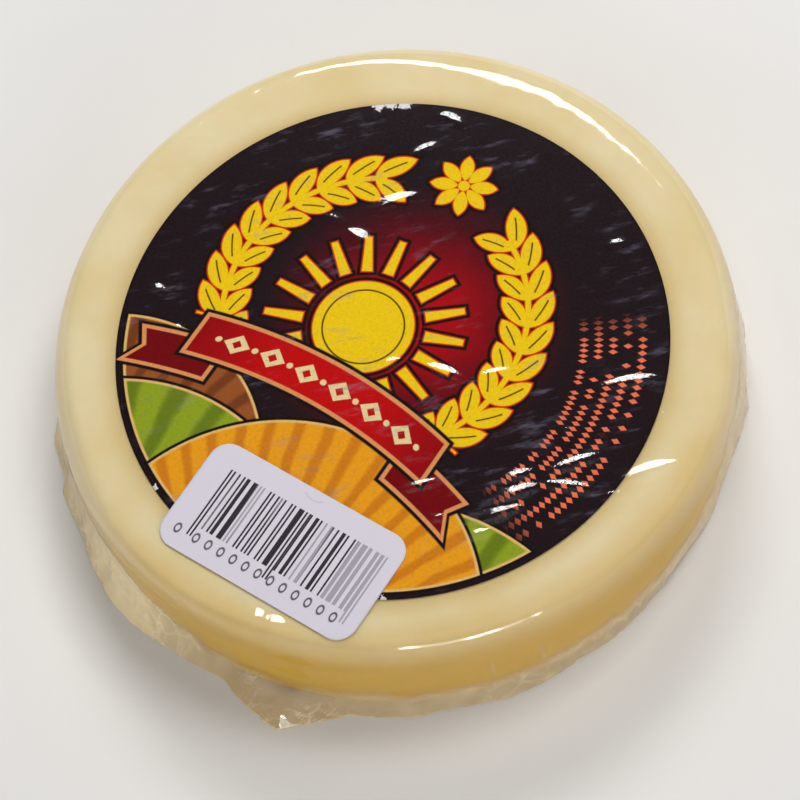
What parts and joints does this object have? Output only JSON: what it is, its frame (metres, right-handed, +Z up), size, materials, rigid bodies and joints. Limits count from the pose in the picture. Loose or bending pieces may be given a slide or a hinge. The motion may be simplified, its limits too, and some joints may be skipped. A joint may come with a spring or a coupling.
{
  "type": "sealed round cheese wheel",
  "caption": "Small round wheel of pale yellow semi-hard cheese sealed in clear shrink film, with a round paper label on top and a white sticker over the label's edge.",
  "frame": {"origin": "centre of the flat base of the wheel, on the surface that it rests on", "axes": "+Z up through the wheel's axis, -Y towards the side that faces the viewer, +X to the viewer's right"},
  "size_m": [0.1096, 0.1075, 0.0225],
  "materials": {
    "cheese_in_film": "pale cream-yellow cheese under thin clear glossy shrink film",
    "label_paper": "dark printed paper with red, gold and amber fields",
    "sticker_paper": "satin white self-adhesive paper with dark printed bars"
  },
  "bodies": {
    "root": {"sealed_pack": "cheese_in_film", "round_label": "label_paper", "barcode_sticker": "sticker_paper"}
  },
  "joints": []
}
